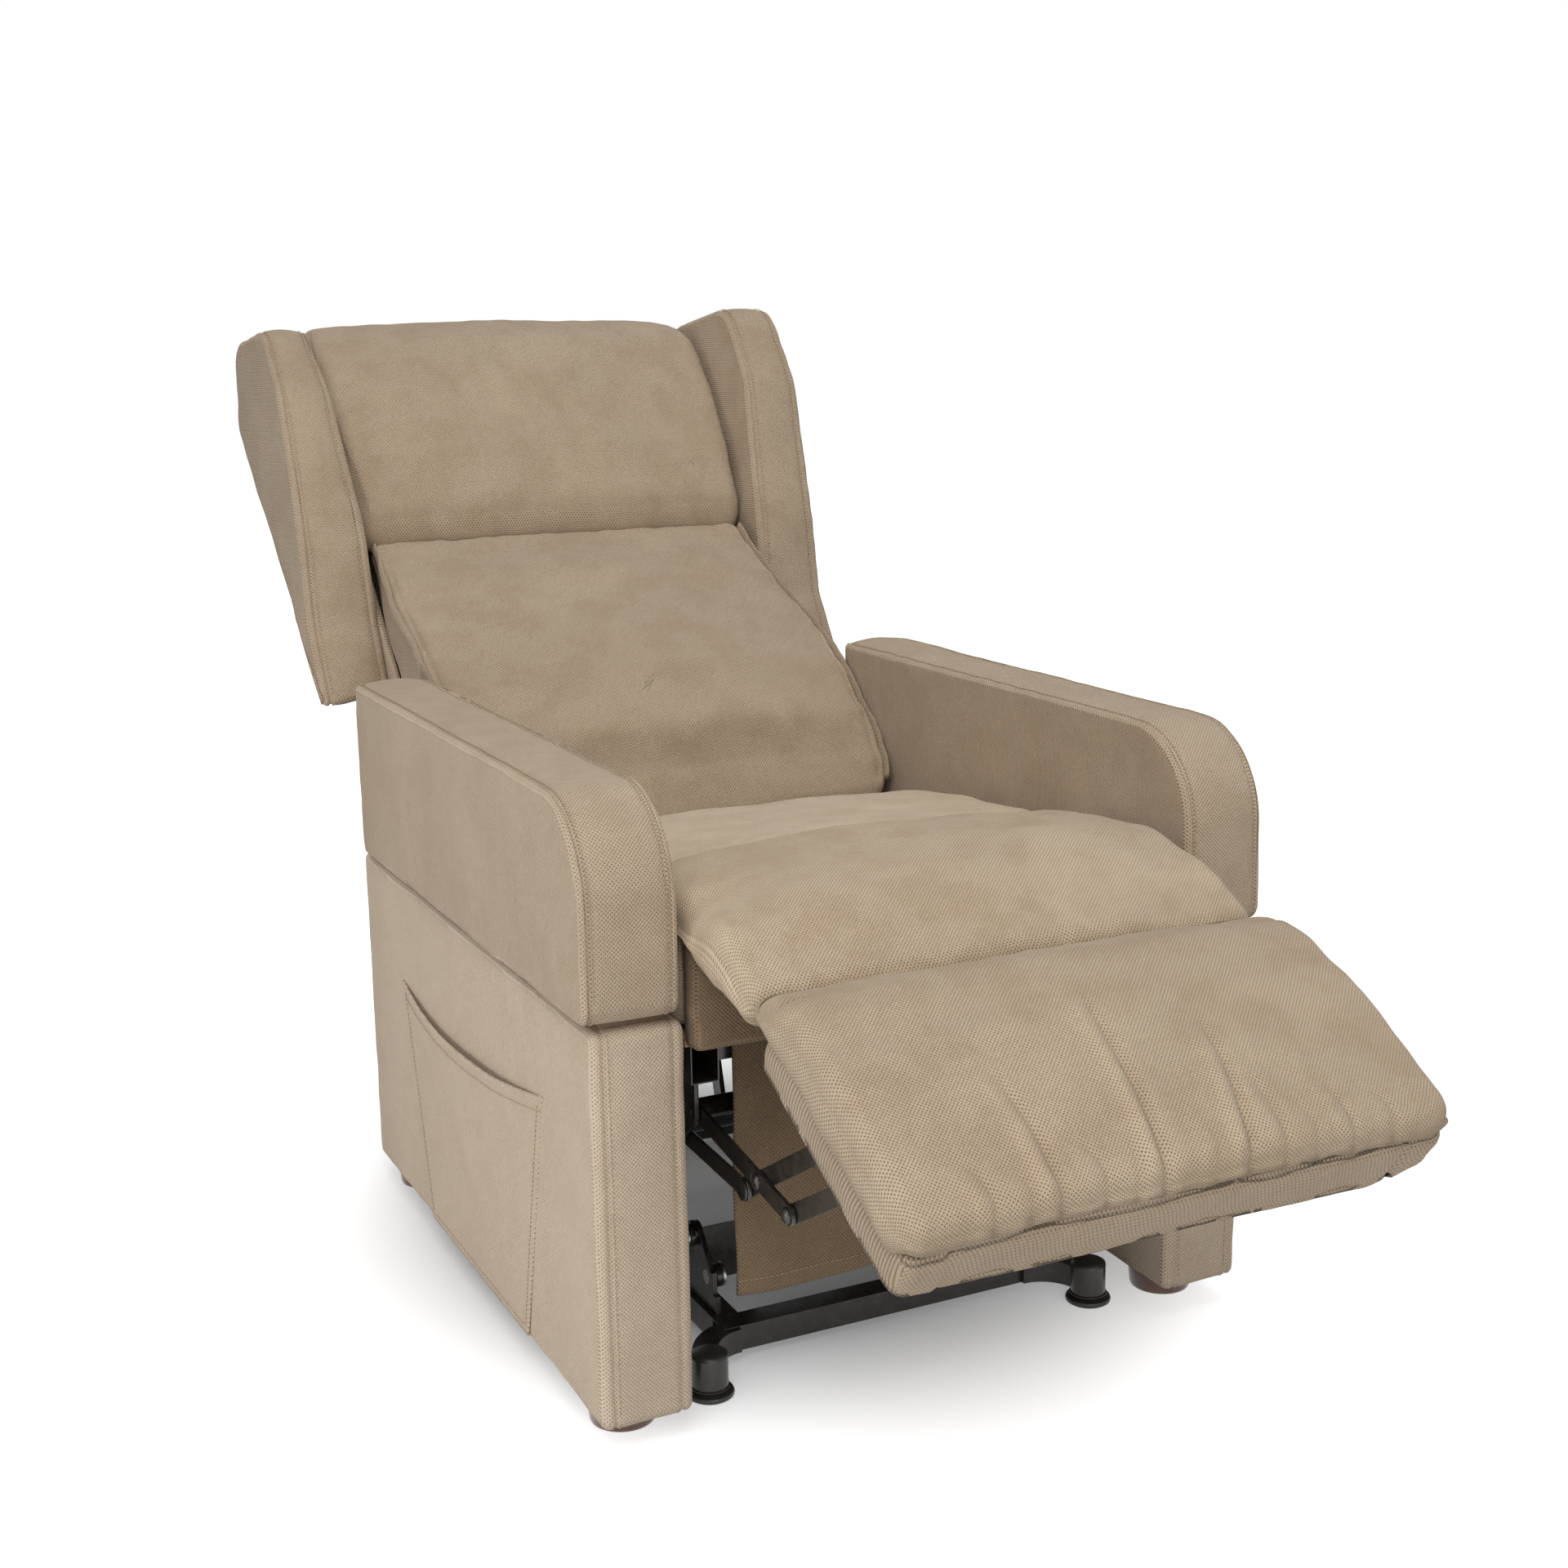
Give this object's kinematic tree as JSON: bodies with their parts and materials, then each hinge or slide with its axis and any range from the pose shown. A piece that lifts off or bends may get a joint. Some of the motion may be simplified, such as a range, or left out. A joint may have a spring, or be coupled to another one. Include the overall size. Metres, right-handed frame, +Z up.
{
  "type": "riser recliner chair",
  "caption": "Upholstered wing-back riser recliner with a folding footrest linkage, a reclining back and a lifting steel base.",
  "frame": {"origin": "on the floor, in the middle of the bounding box of the chair as pictured, half reclined with the footrest raised", "axes": "+Z is up, the front of the chair faces -Y, +X is to the left of a person sitting in it"},
  "size_m": [0.76, 1.7682, 1.0798],
  "materials": {
    "upholstery": "matte",
    "lining": "matte",
    "board": "matte",
    "foot_wood": "satin",
    "black_plastic": "matte",
    "black_steel": "satin",
    "bright_steel": "satin"
  },
  "bodies": {
    "base": {"base_rails": "black_steel", "base_crossbars": "black_steel", "base_outriggers": "black_steel", "base_brackets": "black_steel", "base_feet": "black_plastic", "base_pivot_pins": "bright_steel"},
    "lower_arms": {"lower_lift_arms": "black_steel", "torque_tube": "black_steel"},
    "upper_arm_l": {"upper_lift_arm_left": "black_steel"},
    "upper_arm_r": {"upper_lift_arm_right": "black_steel"},
    "seat": {"seat_rails": "black_steel", "seat_cross_tubes": "black_steel", "actuator_beam": "black_steel", "link_plates": "black_steel", "back_pivot_plates": "black_steel", "lift_brackets": "black_steel", "seat_pivot_pins": "bright_steel", "seat_deck": "board", "seat_fascia": "upholstery", "seat_webbing": "lining", "seat_cushion": "upholstery", "leg_bridge": "upholstery", "side_panel_left": "upholstery", "side_panel_right": "upholstery", "arm_pad_left": "upholstery", "arm_pad_right": "upholstery", "side_pocket": "upholstery", "wooden_feet": "foot_wood", "front_flap": "lining", "control_box": "black_plastic", "footrest_actuator": "black_plastic", "back_actuator": "black_plastic", "lift_actuator": "black_plastic"},
    "lift_rod": {"lift_rod": "bright_steel"},
    "drive": {"drive_tube": "black_steel", "main_link_left": "black_steel", "main_link_right": "black_steel", "link_rivets": "bright_steel"},
    "link_b_l": {"cross_link_left": "black_steel"},
    "link_b_r": {"cross_link_right": "black_steel"},
    "link_c_l": {"lower_link_left": "black_steel"},
    "link_c_r": {"lower_link_right": "black_steel"},
    "link_d_l": {"strut_link_left": "black_steel"},
    "link_d_r": {"strut_link_right": "black_steel"},
    "footrest": {"footrest_board": "board", "footrest_brackets": "black_steel", "footrest_rivets": "bright_steel", "footrest_pillow": "upholstery"},
    "footrest_rod": {"footrest_rod": "bright_steel"},
    "back": {"back_side_tubes": "black_steel", "back_cross_tubes": "black_steel", "back_panel": "lining", "back_boards": "lining", "back_brackets": "black_steel", "lumbar_pad": "upholstery", "head_pillow": "upholstery", "wing_left": "upholstery", "wing_right": "upholstery"},
    "back_rod": {"back_rod": "bright_steel"}
  },
  "joints": [
    {"name": "lift", "type": "hinge", "parent": "base", "child": "lower_arms", "pos_m": [0, -0.29597, 0.074], "axis": [1, 0, 0], "range_deg": [0, 50]},
    {"name": "seat_tilt", "type": "hinge", "parent": "lower_arms", "child": "seat", "pos_m": [0, 0.06783, 0.0957], "axis": [1, 0, 0], "range_deg": [-32.5, 0]},
    {"name": "upper_arm_left", "type": "hinge", "parent": "base", "child": "upper_arm_l", "pos_m": [0, -0.26497, 0.1103], "axis": [1, 0, 0], "range_deg": [0, 48]},
    {"name": "upper_arm_right", "type": "hinge", "parent": "base", "child": "upper_arm_r", "pos_m": [0, -0.26497, 0.1103], "axis": [1, 0, 0], "range_deg": [0, 48]},
    {"name": "lift_rod_slide", "type": "slide", "parent": "seat", "child": "lift_rod", "axis": [0, 1, 0], "range_m": [-0.0522, 0]},
    {"name": "footrest_fold", "type": "hinge", "parent": "seat", "child": "drive", "pos_m": [0, -0.35197, 0.286], "axis": [1, 0, 0], "range_deg": [0, 61.3]},
    {"name": "cross_link_left", "type": "hinge", "parent": "drive", "child": "link_b_l", "pos_m": [0, -0.50067, 0.265], "axis": [1, 0, 0], "range_deg": [-92.4, 0]},
    {"name": "cross_link_right", "type": "hinge", "parent": "drive", "child": "link_b_r", "pos_m": [0, -0.50067, 0.265], "axis": [1, 0, 0], "range_deg": [-92.4, 0]},
    {"name": "lower_link_left", "type": "hinge", "parent": "seat", "child": "link_c_l", "pos_m": [0, -0.30847, 0.2498], "axis": [1, 0, 0], "range_deg": [0, 59.6]},
    {"name": "lower_link_right", "type": "hinge", "parent": "seat", "child": "link_c_r", "pos_m": [0, -0.30847, 0.2498], "axis": [1, 0, 0], "range_deg": [0, 59.6]},
    {"name": "strut_link_left", "type": "hinge", "parent": "drive", "child": "link_d_l", "pos_m": [0, -0.56587, 0.2557], "axis": [1, 0, 0], "range_deg": [-93, 0]},
    {"name": "strut_link_right", "type": "hinge", "parent": "drive", "child": "link_d_r", "pos_m": [0, -0.56587, 0.2557], "axis": [1, 0, 0], "range_deg": [-93, 0]},
    {"name": "footrest_turn", "type": "hinge", "parent": "link_b_l", "child": "footrest", "pos_m": [0, -0.67247, 0.3663], "axis": [1, 0, 0], "range_deg": [0, 92.1]},
    {"name": "footrest_rod_slide", "type": "slide", "parent": "seat", "child": "footrest_rod", "axis": [0, 1, 0], "range_m": [0, 0.0521]},
    {"name": "recline", "type": "hinge", "parent": "seat", "child": "back", "pos_m": [0, 0.21303, 0.4], "axis": [1, 0, 0], "range_deg": [-18, 32]},
    {"name": "back_rod_slide", "type": "slide", "parent": "seat", "child": "back_rod", "axis": [0, 1, 0], "range_m": [-0.0266, 0.0471]}
  ],
  "couplings": [
    {"joint": "seat_tilt", "follows": "lift", "ratio": -0.65},
    {"joint": "upper_arm_left", "follows": "lift", "ratio": 0.96},
    {"joint": "upper_arm_right", "follows": "lift", "ratio": 0.96},
    {"joint": "lift_rod_slide", "follows": "lift", "m_per_rad": -0.05967},
    {"joint": "cross_link_left", "follows": "footrest_fold", "ratio": -1.506},
    {"joint": "cross_link_right", "follows": "footrest_fold", "ratio": -1.506},
    {"joint": "lower_link_left", "follows": "footrest_fold", "ratio": 0.971},
    {"joint": "lower_link_right", "follows": "footrest_fold", "ratio": 0.971},
    {"joint": "strut_link_left", "follows": "footrest_fold", "ratio": -1.516},
    {"joint": "strut_link_right", "follows": "footrest_fold", "ratio": -1.516},
    {"joint": "footrest_turn", "follows": "footrest_fold", "ratio": 1.501},
    {"joint": "footrest_rod_slide", "follows": "footrest_fold", "m_per_rad": 0.0486},
    {"joint": "back_rod_slide", "follows": "recline", "m_per_rad": 0.08412}
  ]
}
